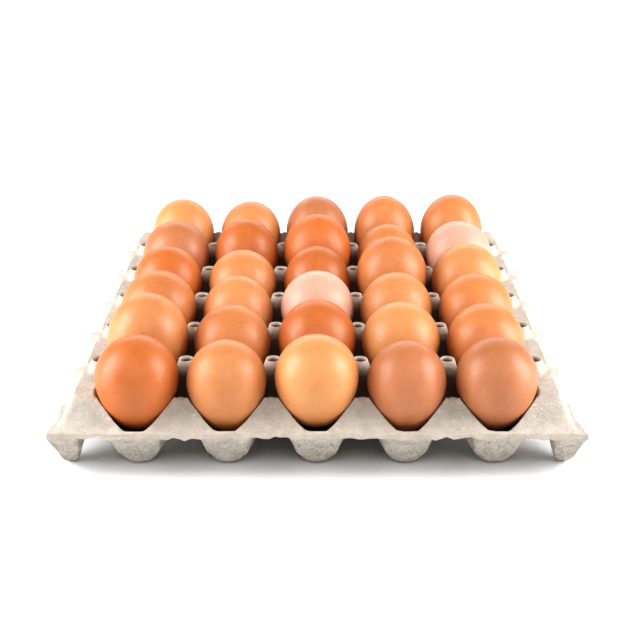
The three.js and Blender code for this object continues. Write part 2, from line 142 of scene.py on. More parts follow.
# How finely the pulp is meshed
POST_PATCH = 8.0
POST_RINGS = (1.2, 2.4, 3.3, 4.0, 4.6, 5.6, 6.8, POST_PATCH)
POST_SIDES = 24
CUP_RINGS = (0.12, 0.24, 0.36, 0.48, 0.6, 0.71, 0.81, 0.9, 0.96, 1.0)
LAND_RINGS = (0.06, 0.16, 0.32, 0.55, 0.78, 1.0)
CUP_SIDES = 64
STRAIGHT_STEPS = 5  # from the middle of a cell's side to the post at its corner
MOUTH_START, MOUTH_HALVINGS = 9.0, 30
POST_SHARE = 12.0  # half of the rim's length that meets a side post
RIM_CUTS, FLANGE_CUTS = 6, 2
NEAR = 0.01
MERGE = 0.05
SHARP = 50  # degrees

# The eggs, row by row from the front: the colour of each, and their form
EGG_KINDS = (
    ("brown", "peach", "golden", "rose", "rose"),
    ("peach", "orange", "brown", "golden", "orange"),
    ("orange", "peach", "pale", "peach", "orange"),
    ("brown", "peach", "brown", "orange", "golden"),
    ("rose", "brown", "brown", "orange", "pale"),
    ("golden", "peach", "rose", "orange", "orange"),
)
EGG_UPPER_SHARE = 0.45
EGG_POINT = 0.07
EGG_LEAN = 2.5
EGG_SWELL, EGG_SWELL_GRAIN = 0.006, 45
EGG_SEGMENTS, EGG_RINGS = 48, 32
FACET_SWELL = 0.9943  # the solids' facets against the true round
DRAW_START, DRAW_STEP, DRAW_SPAN = 7, 16807, 2147483647  # the leans' even draw

# The stage, in metres: each light's place, size, power and aim, then the camera
LIGHTS = (
    ("left_softbox", (-1.0, -0.18, 0.50), (0.60, 0.90), 18.5, (0, 0, 0.03)),
    ("right_softbox", (1.0, -0.18, 0.50), (0.60, 0.90), 18.5, (0, 0, 0.03)),
    ("back_softbox", (0.0, 1.30, 0.62), (1.8, 0.40), 9.5, (0, 0, 0.04)),
    ("top_softbox", (0.0, -0.15, 1.5), (1.6, 0.9), 2.0, (0, 0, 0)),
    ("front_softbox", (0.0, -1.25, 1.10), (1.6, 0.5), 6.6, (0, 0, 0.04)),
)
WORLD_STRENGTH = 0.05
FLOOR_SIZE, GLOW_START, GLOW_END = 60.0, 0.4, 1.1
CAMERA_PLACE, CAMERA_DOWN = (0.00184, -0.70476, 0.32860), 22.82
CAMERA_LENS, CAMERA_SENSOR = 66.66, 36.0


# ---------------------------------------------------------------- pulp surface

def fade(value, run=1.0):
    """Rises from 0 to 1 as the value goes from 0 to the run."""
    return np.clip(value / run, 0, 1)


def soft_min(a, b, blend):
    """The lower of two heights, rounded where they cross."""
    share = np.clip(0.5 + 0.5 * (b - a) / blend, 0, 1)
    return b + (a - b) * share - blend * share * (1 - share)


def soft_max(a, b, blend):
    """The higher of two heights, rounded where they cross."""
    return -soft_min(-a, -b, blend)


def upright(wall, slope):
    """Upright distance between the two faces of a wall of that slope."""
    return wall * math.hypot(1, slope)


def post_row(y):
    """Where the nearest row of posts lies along Y."""
    return PITCH * np.clip(np.round(y / PITCH), 1 - ROWS / 2, ROWS / 2 - 1)


def from_post(x, y):
    """How far each point lies from the middle of the nearest post."""
    column = np.clip(np.round((x + HALF) / PITCH + MIDDLE_COLUMN), 0, COLUMNS)
    return np.hypot(x - ((column - MIDDLE_COLUMN) * PITCH - HALF), y - post_row(y))


def from_cup(x, y):
    """Each point's offsets from the middle of its cup, and that cup's row."""
    column = np.clip(np.round(x / PITCH + MIDDLE_COLUMN), 0, COLUMNS - 1)
    row = np.clip(np.round(y / PITCH + MIDDLE_ROW), 0, ROWS - 1)
    return x - (column - MIDDLE_COLUMN) * PITCH, y - (row - MIDDLE_ROW) * PITCH, row


def noise_start(number, steps):
    """A place in the noise that differs from piece to piece."""
    return Vector([number * step for step in steps])


def offset_outline(outline, wall):
    """The outline moved outwards by the wall, with its corners mitred."""
    lines = []
    for (r0, z0), (r1, z1) in zip(outline, outline[1:]):
        slope = (z1 - z0) / (r1 - r0)
        lines.append((slope, z0 - slope * r0 - upright(wall, slope)))
    points = [(-lines[0][1] / lines[0][0], 0.0)]
    for (s0, b0), (s1, b1) in zip(lines, lines[1:]):
        radius = (b0 - b1) / (s1 - s0)
        points.append((radius, s1 * radius + b1))
    slope, start = lines[-1]
    end = outline[-1][0] + wall
    return points + [(end, slope * end + start)]


def cup_height(dx, dy, wall, outward=0):
    """A cup: round on its floor, closing in towards the posts higher up.

    Towards an open side, given by outward, the cup is flat across its notch."""
    outline = offset_outline(CUP_OUTLINE, wall) if wall else CUP_OUTLINE
    radius = np.hypot(dx, dy)
    full = CUP_OUTLINE[2][0]
    across = np.maximum(0, np.abs(dx) - NOTCH) * full / (full - NOTCH)
    flat = np.hypot(across, dy * NOTCH_REACH)
    snug = NOTCH_SNUG * fade(np.abs(dx) / NOTCH - SNUG_START)
    open_side = fade(dy * outward, full) ** NOTCH_TURN * fade(radius - NOTCH_START, NOTCH_RUN)
    radius = radius + (flat + snug - radius) * open_side
    diagonal = (1 - np.cos(4 * np.arctan2(dy, dx))) / 2
    radius = radius * (1 + PAD * diagonal * fade(radius - PAD_START, PAD_RUN))
    radii, heights = zip(*outline)
    total = 0
    for step in np.linspace(-CUP_SOFTNESS, CUP_SOFTNESS, CUP_SAMPLES):
        total = total + np.interp(np.maximum(radius + step, 0), radii, heights)
    return total / CUP_SAMPLES


def outer_face(inward, slope, wall):
    """An outer wall's face, rising inwards from the flat flange."""
    rising = RIM_Z + slope * inward - upright(wall, slope)
    return soft_max(RIM_Z - wall + 0 * inward, rising, RIM_BLEND)


def ridge_height(x, y):
    """The ridges that run out from the side posts, down to the rim."""
    top = RIDGE_Z - RIDGE_FALL * (np.abs(x) - RIDGE_X)
    aside = np.maximum(0, np.abs(y - post_row(y)) - RIDGE_WIDTH / 2)
    end = RIM_Z + RIDGE_END_SLOPE * (RIM_X + RIDGE_OVERRUN - np.abs(x))
    return soft_min(top - RIDGE_FLANK * aside, end, RIM_BLEND)


def land_height(x, y, wall):
    """The saddles, posts, outer walls and flange between the cups."""
    post = from_post(x, y)
    flank = POST_Z - POST_SLOPE * (post - CRATER_RADIUS) - upright(wall, POST_SLOPE)
    posts = soft_min(POST_Z - wall + 0 * x, flank, TIP_BLEND)
    z = soft_max(SADDLE_Z - wall + 0 * x, posts, SADDLE_BLEND)
    for crest, inward in ((CREST_Z, y - FRONT_CREST_Y), (BACK_CREST_Z, BACK_CREST_Y - y)):
        inner = crest - INNER_SLOPE * inward - upright(wall, INNER_SLOPE)
        z = soft_max(z, soft_min(crest - wall + 0 * x, inner, CREST_BLEND), WALL_BLEND)
    side = CREST_Z - INNER_SLOPE * np.maximum(0, SIDE_WALL_X - np.abs(x)) - wall
    z = soft_max(z, side, WALL_BLEND)
    z = soft_min(z, outer_face(RIM_X - np.abs(x), SIDE_FACE_SLOPE, wall), FACE_BLEND)
    ridged = soft_max(z, ridge_height(x, y) - wall, RIDGE_BLEND)
    z = np.where(np.abs(x) > SIDE_POST_X + RIDGE_START, ridged, z)
    z = soft_min(z, outer_face(RIM_Y + y, FACE_SLOPE, wall), FACE_BLEND)
    z = soft_min(z, outer_face(RIM_Y - y, BACK_FACE_SLOPE, wall), FACE_BLEND)
    floor = POST_Z - CRATER_DEPTH
    steep = CRATER_DEPTH / CRATER_RADIUS
    crater = np.maximum(floor - wall, floor + steep * post - upright(wall, steep))
    return np.maximum(soft_min(z, crater, TIP_BLEND), np.minimum(RIM_Z - wall, z))


def pulp_height(x, y, wall):
    """The tray's surface, its cups pressed into the land; wall 0 gives its upper face."""
    dx, dy, row = from_cup(x, y)
    outward = np.where(row == 0, -1, np.where(row == ROWS - 1, 1, 0))
    return soft_min(cup_height(dx, dy, wall, outward), land_height(x, y, wall), MOUTH_BLEND)


def foot_height(x, y):
    """The end rows' feet, run out to the flange, and the narrow feet under its corners."""
    out = np.abs(y) - END_ROW_Y
    outward = FOOT_FRONT_SLOPE * (out - FOOT_TOE)
    ends = soft_max(outward, -FOOT_FRONT_SLOPE * out, FOOT_BLEND)
    from_corner = np.maximum(0, np.abs(np.abs(x) - CORNER_FOOT_X) - CORNER_FOOT_TOE)
    side = (RIM_Z - LIP) * (from_corner / CORNER_FOOT_WIDTH) ** CORNER_FOOT_CURVE
    corner = soft_max(ends, side, FOOT_BLEND)
    aside = np.abs(x - PITCH * np.round(x / PITCH))
    crown = FOOT_CROWN * np.minimum(1, aside / FOOT_HALF_WIDTH) ** FOOT_CROWN_CURVE
    flank = crown + FOOT_SIDE_SLOPE * np.maximum(0, aside - FOOT_HALF_WIDTH)
    cup = (np.maximum(0, outward) ** FOOT_ROUND + flank ** FOOT_ROUND) ** (1 / FOOT_ROUND)
    in_cups = (out > 0) & (np.abs(x) < SIDE_POST_X)
    return np.maximum(0, np.where(in_cups, np.minimum(corner, cup), corner))


def underside_height(x, y, lip):
    """The lower face, with the feet round the edge and a toe under each cup.

    The flange's turned-down edge is marked by lip."""
    z = soft_min(pulp_height(x, y, WALL), foot_height(x, y), UNDER_BLEND)
    dx, dy, _ = from_cup(x, y)
    past_toe = np.abs(y) - END_ROW_Y - FOOT_TOE
    dy = np.where(np.abs(y) > END_ROW_Y, np.maximum(0, past_toe), dy)
    reach = np.hypot(dx, dy)
    toe = np.minimum(TOE_SLOPE * (reach - TOE_RADIUS), pulp_height(x, y, 0) - TOE_LEAST)
    z = np.where(reach < TOE_REACH, np.maximum(z, toe), z)
    return np.maximum(np.where(lip, np.minimum(z, RIM_Z - LIP), z), 0)


def side_tab(y):
    """Where the side flange droops out in a tab beside each side post, from 0 to 1."""
    place = y + TAB_SHIFT
    return np.exp(-((place - post_row(place)) / TAB_WIDTH) ** 2)


def painted_shade_and_light(x, y, z):
    """The painted shade and light on each point, first on the upper face and then on the lower.

    It is painted shade in a post's hole, between the eggs and under the middle of the tray, and
    painted light near the top of a post."""
    post = from_post(x, y)
    # Painted shade: darker in a post's hole, deep between the eggs and under the middle of the
    # tray
    hole = fade(CRATER_RADIUS - post, HOLE_EDGE)
    # Painted light: paler near the top of each post, less so on the side posts
    tip = fade(z - TIP_Z, TIP_RUN) * (post < POST_PATCH) * (1 - hole)
    tip = tip * np.where(np.abs(x) < END_COLUMN_X, 1, SIDE_TIP)
    deep = fade(POST_Z - DEEP_START - z, DEEP_RUN)
    deep = deep * fade(DEEP_X - np.abs(x), DEEP_X_RUN) * fade(DEEP_Y - np.abs(y), DEEP_Y_RUN)
    under = fade(UNDER_X - np.abs(x), UNDER_RUN) * fade(UNDER_Y - np.abs(y), UNDER_RUN)
    dark = np.concatenate([np.maximum(hole, deep), UNDER_SHADE * under])
    return {"cavity": dark, "tip": np.concatenate([tip, 0 * tip])}


# ---------------------------------------------------------------- pulp mesh

def fresh(ops_add, name, **options):
    """Adds a primitive on its own and names it."""
    bpy.ops.object.select_all(action="DESELECT")
    ops_add(**options)
    made = bpy.context.object
    made.name = made.data.name = name
    return made


def ring_disc(name, sides, rings):
    """A flat disc of even rings, drawn in from its rim by extruding."""
    disc = fresh(bpy.ops.mesh.primitive_circle_add, name, vertices=sides, radius=1.0)
    bpy.ops.object.mode_set(mode="EDIT")
    bpy.ops.mesh.select_all(action="SELECT")
    for ring in range(rings, 1, -1):
        shrink = (ring - 1) / ring
        bpy.ops.mesh.extrude_region_move()
        bpy.ops.transform.resize(value=(shrink, shrink, 1), center_override=(0, 0, 0))
    bpy.ops.mesh.extrude_region_move()
    bpy.ops.mesh.merge(type="CENTER")
    bpy.ops.object.mode_set(mode="OBJECT")
    return disc


def points_of(thing):
    """All of a mesh's points, one to a row."""
    flat = np.zeros(len(thing.data.vertices) * 3)
    thing.data.vertices.foreach_get("co", flat)
    return flat.reshape(-1, 3)


def set_points(thing, points):
    """Moves all of a mesh's points at once."""
    thing.data.vertices.foreach_set("co", np.asarray(points, float).ravel())
    thing.data.update()


def disc_places(disc, sides, rings):
    """Each point's ring, counted from the centre, and its direction."""
    points = points_of(disc)
    ring = np.round(np.hypot(points[:, 0], points[:, 1]) * rings).astype(int)
    turn = np.arctan2(points[:, 1], points[:, 0]) / (2 * np.pi)
    return ring, np.round(turn * sides).astype(int) % sides


def quadrant(first_reach, second_reach, with_post):
    """Half a cell's side, its corner, and half the next side, in a quarter of its steps."""
    if with_post:
        straight = np.linspace(0, HALF - POST_PATCH, STRAIGHT_STEPS + 1)[:-1]
        arc = np.radians(-90 - 360 / POST_SIDES * np.arange(POST_SIDES // 4 + 1))
        first = [(HALF, s) for s in straight]
        bend = [(HALF + POST_PATCH * math.cos(a), HALF + POST_PATCH * math.sin(a)) for a in arc]
        return first + bend + [(s, HALF) for s in straight[:0:-1]]
    steps = CUP_SIDES // 8
    first = [(first_reach, second_reach * k / steps) for k in range(steps)]
    return first + [(first_reach * k / steps, second_reach) for k in range(steps, 0, -1)]


def cell_outline(row):
    """The edge of one cup's share of the tray, round its centre."""
    last, first = row == ROWS - 1, row == 0
    upper = RIM_Y - END_ROW_Y if last else HALF
    lower = RIM_Y - END_ROW_Y if first else HALF
    loop = list(quadrant(HALF, upper, not last))
    loop += [(-y, x) for x, y in quadrant(upper, HALF, not last)]
    loop += [(-x, -y) for x, y in quadrant(HALF, lower, not first)]
    loop += [(y, -x) for x, y in quadrant(lower, HALF, not first)]
    return np.array(loop)


def mouth_outline(cx, cy, outline, outward):
    """Where the cup meets the land, along each direction of the cell's edge."""
    high = np.hypot(outline[:, 0], outline[:, 1])
    unit = outline / high[:, None]
    low = np.full(len(unit), MOUTH_START)
    for _ in range(MOUTH_HALVINGS):
        middle = (low + high) / 2
        dx, dy = unit[:, 0] * middle, unit[:, 1] * middle
        inside = cup_height(dx, dy, 0, outward) < land_height(cx + dx, cy + dy, 0)
        low, high = np.where(inside, middle, low), np.where(inside, high, middle)
    return unit * low[:, None]


def pulp_cells():
    """The cups and posts in plan, each a copy of one disc laid over its place."""
    rings = len(CUP_RINGS) + len(LAND_RINGS)
    cell = ring_disc("pulp_cell", CUP_SIDES, rings)
    ring, way = disc_places(cell, CUP_SIDES, rings)
    pieces = []
    for row in range(ROWS):
        outline = cell_outline(row)
        cy = (row - MIDDLE_ROW) * PITCH
        outward = (row == ROWS - 1) - (row == 0)
        for column in range(COLUMNS):
            cx = (column - MIDDLE_COLUMN) * PITCH
            mouth = mouth_outline(cx, cy, outline, outward)
            levels = [0 * mouth] + [mouth * share for share in CUP_RINGS]
            levels += [mouth + (outline - mouth) * share for share in LAND_RINGS]
            plan = np.array(levels)[ring, way] + (cx, cy)
            pieces.append(copy_of(cell, np.column_stack([plan, 0 * plan[:, 0]]) * MM))
    post = ring_disc("pulp_post", POST_SIDES, len(POST_RINGS))
    ring, way = disc_places(post, POST_SIDES, len(POST_RINGS))
    radius = np.array((0,) + POST_RINGS)[ring]
    angle = 2 * np.pi * way / POST_SIDES
    for row in range(1, ROWS):
        for column in range(COLUMNS + 1):
            px, py = (column - COLUMNS / 2) * PITCH, (row - ROWS / 2) * PITCH
            plan = [px + radius * np.cos(angle), py + radius * np.sin(angle), 0 * angle]
            pieces.append(copy_of(post, np.column_stack(plan) * MM))
    for pattern in (cell, post):
        bpy.data.objects.remove(pattern)
    return pieces


def copy_of(pattern, points):
    """A copy of a pattern, with its own mesh moved to the points."""
    made = pattern.copy()
    made.data = pattern.data.copy()
    bpy.context.collection.objects.link(made)
    set_points(made, points)
    return made


def joined(pieces, name):
    """The pieces as one mesh."""
    bpy.ops.object.select_all(action="DESELECT")
    for piece in pieces:
        piece.select_set(True)
    bpy.context.view_layer.objects.active = pieces[0]
    bpy.ops.object.join()
    whole = bpy.context.object
    whole.name = whole.data.name = name
    return whole


def select_edges(mesh, test):
    """In edit mode, selects just the edges that pass a test."""
    bpy.ops.mesh.select_all(action="DESELECT")
    bpy.ops.mesh.select_mode(type="EDGE")
    form = bmesh.from_edit_mesh(mesh)
    for edge in form.edges:
        edge.select = bool(test(edge))
    form.select_flush_mode()
    bmesh.update_edit_mesh(mesh)


def side_step(co):
    """Where a point of the side posts' line lands on the side rim."""
    x, y = co.x / MM, co.y / MM
    post = post_row(y)
    along = y - post
    if abs(x) > SIDE_POST_X + NEAR or abs(along) <= POST_PATCH:
        angle = math.atan2(along, abs(x) - SIDE_POST_X)
        y = post + POST_SHARE * angle / (math.pi / 2)
    elif abs(y) < END_ROW_Y:
        outward = (abs(along) - POST_PATCH) / (HALF - POST_PATCH)
        y = post + math.copysign(POST_SHARE + (HALF - POST_SHARE) * outward, along)
    return Vector((math.copysign(RIM_X, x) * MM, y * MM, 0))


def flange_step(co):
    """Where a point of the rim lands on the flange's outer edge."""
    x, y = co.x / MM, co.y / MM
    reach = abs(x) * FLANGE_X / RIM_X
    if abs(x) > RIM_X - NEAR:
        flare = max(side_tab(y), fade(abs(y) - FLARE_Y, FLARE_RUN))
        reach = SIDE_FLANGE_X + (FLANGE_X - SIDE_FLANGE_X) * flare
    return Vector((math.copysign(reach, x) * MM, co.y * FLANGE_Y / RIM_Y, 0))


def grow(mesh, chosen, step, cuts):
    """Extrudes the chosen border edges, moves each new point, and divides the new band."""
    select_edges(mesh, chosen)
    bpy.ops.mesh.extrude_region_move()
    form = bmesh.from_edit_mesh(mesh)
    new = {v for v in form.verts if v.select}
    for vert in new:
        vert.co = step(vert.co)
    bmesh.update_edit_mesh(mesh)
    for edge in form.edges:
        edge.select = (edge.verts[0] in new) != (edge.verts[1] in new)
    form.select_flush_mode()
    bmesh.update_edit_mesh(mesh)
    bpy.ops.mesh.subdivide(number_cuts=cuts)


def relief(points, seed, broad, fine):
    """Uneven pressing of the pulp: a height for each point, in metres."""
    shift = noise_start(seed, RELIEF_START)
    heights = []
    for point in points:
        place = Vector(point)
        wide = noise.noise(place * BROAD_GRAIN + shift)
        narrow = noise.noise(place * FINE_GRAIN + shift)
        heights.append((broad * wide + fine * narrow) * MM)
    return np.array(heights)


def edge_rings(mesh):
    """Marks the points on the sheet's outer edge, and those on it or next to it."""
    form = bmesh.new()
    form.from_mesh(mesh)
    edge = np.array([vert.is_boundary for vert in form.verts])
    beside = edge.copy()
    for link in form.edges:
        if edge[link.verts[0].index] or edge[link.verts[1].index]:
            beside[[vert.index for vert in link.verts]] = True
    form.free()
    return edge, beside


def fray(upper, lower, edge, lip, amount):
    """Moves the flange's edge in and out, and its lower side up and down, as torn pulp is."""
    for k in np.nonzero(edge)[0]:
        place = Vector(upper[k]) * TEAR_GRAIN
        push = noise.noise(place) + TEAR_FINE_SHARE * noise.noise(place * TEAR_FINER)
        for side in (upper, lower):
            side[k, :2] *= 1 + TEAR_REACH * amount * (push - TEAR_BIAS)
    lowest = (RIM_Z - RAG_ROOM * LIP - TAB_DROOP) * MM
    for k in np.nonzero(lip)[0]:
        place = Vector((lower[k, 0], lower[k, 1], 0)) * RAG_GRAIN
        ragged = noise.noise(place) + noise.noise(place * RAG_FINER)
        if lower[k, 2] > lowest:
            lower[k, 2] += RAG_DEPTH * amount * ragged * MM
        lower[k, 2] = min(lower[k, 2], upper[k, 2] - RAG_LEAST * MM)


def lay_sheet():
    """The tray in plan: cups and posts joined, with the side rim and the flange grown on."""
    tray = joined(pulp_cells(), "pulp_tray")
    mesh = tray.data
    bpy.ops.object.mode_set(mode="EDIT")
    bpy.ops.mesh.select_all(action="SELECT")
    bpy.ops.mesh.remove_doubles(threshold=MERGE * MM)
    line = (SIDE_POST_X - NEAR) * MM
    for side in (-1, 1):
        grow(mesh, lambda edge: edge.is_boundary and min(side * v.co.x for v in edge.verts) > line,
             side_step, RIM_CUTS)
    grow(mesh, lambda edge: edge.is_boundary, flange_step, FLANGE_CUTS)
    bpy.ops.mesh.select_all(action="SELECT")
    bpy.ops.mesh.normals_make_consistent(inside=False)
    bpy.ops.object.mode_set(mode="OBJECT")
    if sum(face.normal.z for face in mesh.polygons) < 0:
        mesh.flip_normals()
    return tray


def raise_faces(points, lip, sizes):
    """Lifts the sheet's points to the tray's two faces, and gives the painted shade and light on
    each.
    """
    count = len(points) // 2
    upper, lower = points[:count], points[count:]
    x, y = upper[:, 0] / MM, upper[:, 1] / MM
    upper[:, 2] = pulp_height(x, y, 0) * MM
    lower[:, 2] = underside_height(x, y, lip) * MM
    curl = fade(np.abs(x) - RIM_X, FLANGE_X - RIM_X) ** TAB_CURL
    points[:, 2] -= np.tile(TAB_DROOP * side_tab(y) * curl, 2) * MM
    painted_masks = painted_shade_and_light(x, y, upper[:, 2] / MM)
    broad = sizes.relief / MM
    lift = relief(upper, 1, broad, broad * FINE_SHARE)
    upper[:, 2] += lift
    standing = fade(lower[:, 2], FOOT_EVEN * MM)
    lower[:, 2] += (lift - relief(lower, 2, UNDER_BROAD, UNDER_FINE)) * standing
    return painted_masks


def mould_tray(sizes):
    """Doubles the sheet, shapes its two faces, frays its edge and closes it."""
    tray = lay_sheet()
    mesh = tray.data
    edge, lip = edge_rings(mesh)
    bpy.ops.object.mode_set(mode="EDIT")
    bpy.ops.mesh.select_all(action="SELECT")
    bpy.ops.mesh.duplicate()
    bpy.ops.mesh.flip_normals()
    bpy.ops.object.mode_set(mode="OBJECT")
    points = points_of(tray)
    painted_masks = raise_faces(points, lip, sizes)
    fray(points[:len(lip)], points[len(lip):], edge, lip, sizes.fray)
    set_points(tray, points)
    # Stores the painted shade and painted light on the points, for the pulp's colour to read
    for name, values in painted_masks.items():
        mesh.attributes.new(name, "FLOAT", "POINT").data.foreach_set("value", values)
    bpy.ops.object.mode_set(mode="EDIT")
    select_edges(mesh, lambda edge: edge.is_boundary)
    bpy.ops.mesh.bridge_edge_loops()
    bpy.ops.object.mode_set(mode="OBJECT")
    bpy.ops.object.shade_smooth_by_angle(angle=math.radians(SHARP))
    return tray


# ---------------------------------------------------------------- eggs

def egg_leans():
    """Two small leans for each egg, the same as in the solids."""
    draw = DRAW_START
    leans = []
    for _ in range(2 * COLUMNS * ROWS):
        draw = draw * DRAW_STEP % DRAW_SPAN
        leans.append(math.radians(EGG_LEAN * (2 * draw / DRAW_SPAN - 1)))
    return list(zip(leans[::2], leans[1::2]))


def shape_egg(pattern, node, lean, seed):
    """An egg over its solid: blunt end up, a little out of round."""
    low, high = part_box(node)
    length = high.z - low.z
    width = max(high.x - low.x, high.y - low.y) / FACET_SWELL
    unit = points_of(pattern)
    up = unit[:, 2]
    girth = (width / 2) * (1 + EGG_POINT * np.minimum(0, up))
    tall = np.where(up < 0, length * (1 - EGG_UPPER_SHARE), length * EGG_UPPER_SHARE)
    points = np.column_stack([unit[:, 0] * girth, unit[:, 1] * girth, up * tall])
    turn = Euler((lean[0], lean[1], 0)).to_matrix()
    points = points @ np.array(turn).T
    shift = noise_start(seed, EGG_START)
    swell = [EGG_SWELL * noise.noise(Vector(p) * EGG_SWELL_GRAIN + shift) for p in points]
    points *= 1 + np.array(swell)[:, None]
    middle = (low + high) / 2
    points[:, :2] += middle.xy
    points[:, 2] += low.z - points[:, 2].min()
    return copy_of(pattern, points)


# ---------------------------------------------------------------- materials

def shaded(colour, *factors):
    """The colour times one factor, or times a factor for each channel."""
    if len(factors) == 1:
        factors = factors * 3
    return tuple(min(1, c * k) for c, k in zip(colour, factors))


class Paint:
    """Builds one material's nodes."""

    def __init__(self, name):
        self.material = bpy.data.materials.new(name)
        self.material.use_nodes = True
        self.nodes = self.material.node_tree.nodes
        self.links = self.material.node_tree.links
        self.shader = self.nodes["Principled BSDF"]
        self.place = self.nodes.new("ShaderNodeTexCoord").outputs["Object"]

    def feed(self, socket, value):
        """Gives a socket another socket's value, a colour or a number."""
        if isinstance(value, bpy.types.NodeSocket):
            self.links.new(value, socket)
        elif isinstance(value, tuple):
            socket.default_value = (*value, 1)
        else:
            socket.default_value = value

    def mapped(self, setting, values):
        """The place on the piece, stretched by a Scale or shifted by a Location."""
        mapping = self.nodes.new("ShaderNodeMapping")
        self.feed(mapping.inputs["Vector"], self.place)
        mapping.inputs[setting].default_value = values
        return mapping.outputs[0]

    def noise(self, size_mm, detail, rough, place=None, distortion=0.0):
        """Cloudy noise whose patches are about that many millimetres across."""
        texture = self.nodes.new("ShaderNodeTexNoise")
        self.feed(texture.inputs["Vector"], place or self.place)
        texture.inputs["Scale"].default_value = 1000 / size_mm
        texture.inputs["Detail"].default_value = detail
        texture.inputs["Roughness"].default_value = rough
        texture.inputs["Distortion"].default_value = distortion
        return texture.outputs["Fac"]

    def attribute(self, name):
        node = self.nodes.new("ShaderNodeAttribute")
        node.attribute_name = name
        return node.outputs["Fac"]

    def ramp(self, value, low, high, start=0.0, end=1.0):
        """Spreads the span from low to high over start to end, smoothly."""
        spread = self.nodes.new("ShaderNodeMapRange")
        spread.interpolation_type = "SMOOTHSTEP"
        self.feed(spread.inputs["Value"], value)
        ends = {"From Min": low, "From Max": high, "To Min": start, "To Max": end}
        for socket, number in ends.items():
            spread.inputs[socket].default_value = number
        return spread.outputs[0]

    def math(self, operation, a, b=0.0):
        node = self.nodes.new("ShaderNodeMath")
        node.operation = operation
        self.feed(node.inputs[0], a)
        self.feed(node.inputs[1], b)
        return node.outputs[0]

    def blend(self, share, first, second):
        mix = self.nodes.new("ShaderNodeMix")
        mix.data_type = "RGBA"
        self.feed(mix.inputs["Factor"], share)
        self.feed(mix.inputs[6], first)
        self.feed(mix.inputs[7], second)
        return mix.outputs[2]

    def bump(self, height, distance_mm, strength, below=None):
        node = self.nodes.new("ShaderNodeBump")
        self.feed(node.inputs["Height"], height)
        node.inputs["Distance"].default_value = distance_mm * MM
        node.inputs["Strength"].default_value = strength
        if below:
            self.feed(node.inputs["Normal"], below)
        return node.outputs[0]


def pulp_material(colour):
    """Rough grey pulp: mottled, with pale and dark fibres, a fine nap and cracked feet."""
    paint = Paint("moulded_pulp")
    cloud = paint.ramp(paint.noise(7, 4, 0.6), 0.35, 0.65)
    mottled = paint.blend(cloud, shaded(colour, 0.90), shaded(colour, 1.06))
    grain = paint.ramp(paint.noise(1.1, 3, 0.65), 0.35, 0.7, 0, 0.35)
    mottled = paint.blend(grain, mottled, shaded(colour, 0.72))
    flecks = paint.noise(0.9, 1, 0.5, paint.mapped("Scale", (1, 0.35, 0.6)))
    mottled = paint.blend(paint.ramp(flecks, 0.68, 0.76, 0, 0.5), mottled, shaded(colour, 0.45))
    pale = paint.noise(1.6, 2, 0.5, paint.mapped("Scale", (0.4, 1, 0.7)))
    mottled = paint.blend(paint.ramp(pale, 0.62, 0.72, 0, 0.6), mottled, shaded(colour, 1.35))
    height = paint.nodes.new("ShaderNodeSeparateXYZ")
    paint.feed(height.inputs[0], paint.place)
    low = paint.ramp(height.outputs[2], CRACKS_TOP, CRACKS_FULL)
    centred = paint.math("SUBTRACT", paint.noise(6, 4, 0.6, distortion=0.8), 0.5)
    vein = paint.ramp(paint.math("ABSOLUTE", centred), 0.016, 0.004)
    crack = paint.math("MULTIPLY", vein, low)
    # Darker in the feet's cracks and towards their bottom; then painted shade, darkest in the
    # posts' holes, between the eggs and under the tray, and painted light near the top of each
    # post
    for share, most, tint in (
        (crack, 0.5, shaded(colour, 0.4)),
        (low, 0.18, shaded(colour, 0.5)),
        (paint.attribute("cavity"), 0.9, shaded(colour, 0.15, 0.09, 0.06)),
        (paint.attribute("tip"), 0.8, shaded(colour, 1.25)),
    ):
        mottled = paint.blend(paint.math("MULTIPLY", share, most), mottled, tint)
    paint.feed(paint.shader.inputs["Base Color"], mottled)
    paint.shader.inputs["Roughness"].default_value = 0.95
    paint.shader.inputs["Specular IOR Level"].default_value = 0.2
    broad = paint.bump(paint.noise(9, 3, 0.6), 0.8, 0.5)
    lumps = paint.bump(paint.noise(2.6, 3, 0.65, distortion=0.6), 0.6, 0.8, broad)
    cracked = paint.bump(crack, -0.8, 0.8, lumps)
    nap = paint.noise(0.8, 2, 0.7, paint.mapped("Scale", (1, 0.4, 0.8)))
    paint.feed(paint.shader.inputs["Normal"], paint.bump(nap, 0.3, 0.9, cracked))
    return paint.material


def eggshell_material(name, colour, seed):
    """Brown eggshell: cloudy tint, faint darker freckles, fine pores, a low sheen."""
    paint = Paint(name)
    place = paint.mapped("Location", noise_start(seed, SHELL_START))
    deep = shaded(colour, 0.86, 0.76, 0.66)
    pale = shaded(colour, 1.05, 1.1, 1.16)
    tint = paint.blend(paint.ramp(paint.noise(26, 2, 0.5, place), 0.35, 0.65), colour, pale)
    cloud = paint.noise(7, 3, 0.6, place)
    tint = paint.blend(paint.ramp(cloud, 0.45, 0.75, 0, 0.35), tint, deep)
    mottle = paint.noise(1.4, 2, 0.6, place)
    tint = paint.blend(paint.ramp(mottle, 0.5, 0.72, 0, 0.28), tint, deep)
    speck = paint.noise(0.9, 1, 0.4, place)
    sparse = paint.ramp(paint.noise(12, 1, 0.5, place), 0.45, 0.65)
    freckle = paint.math("MULTIPLY", paint.ramp(speck, 0.73, 0.78, 0, 0.45), sparse)
    tint = paint.blend(freckle, tint, shaded(colour, 0.5))
    paint.feed(paint.shader.inputs["Base Color"], tint)
    rough = paint.ramp(paint.noise(4, 2, 0.5, place), 0.3, 0.7, 0.41, 0.49)
    paint.feed(paint.shader.inputs["Roughness"], rough)
    paint.shader.inputs["Specular IOR Level"].default_value = 0.45
    grain = paint.bump(paint.noise(2.2, 2, 0.6, place), 0.05, 0.35)
    pores = paint.bump(paint.noise(0.45, 1, 0.5, place), 0.03, 0.5, grain)
    paint.feed(paint.shader.inputs["Normal"], pores)
    return paint.material


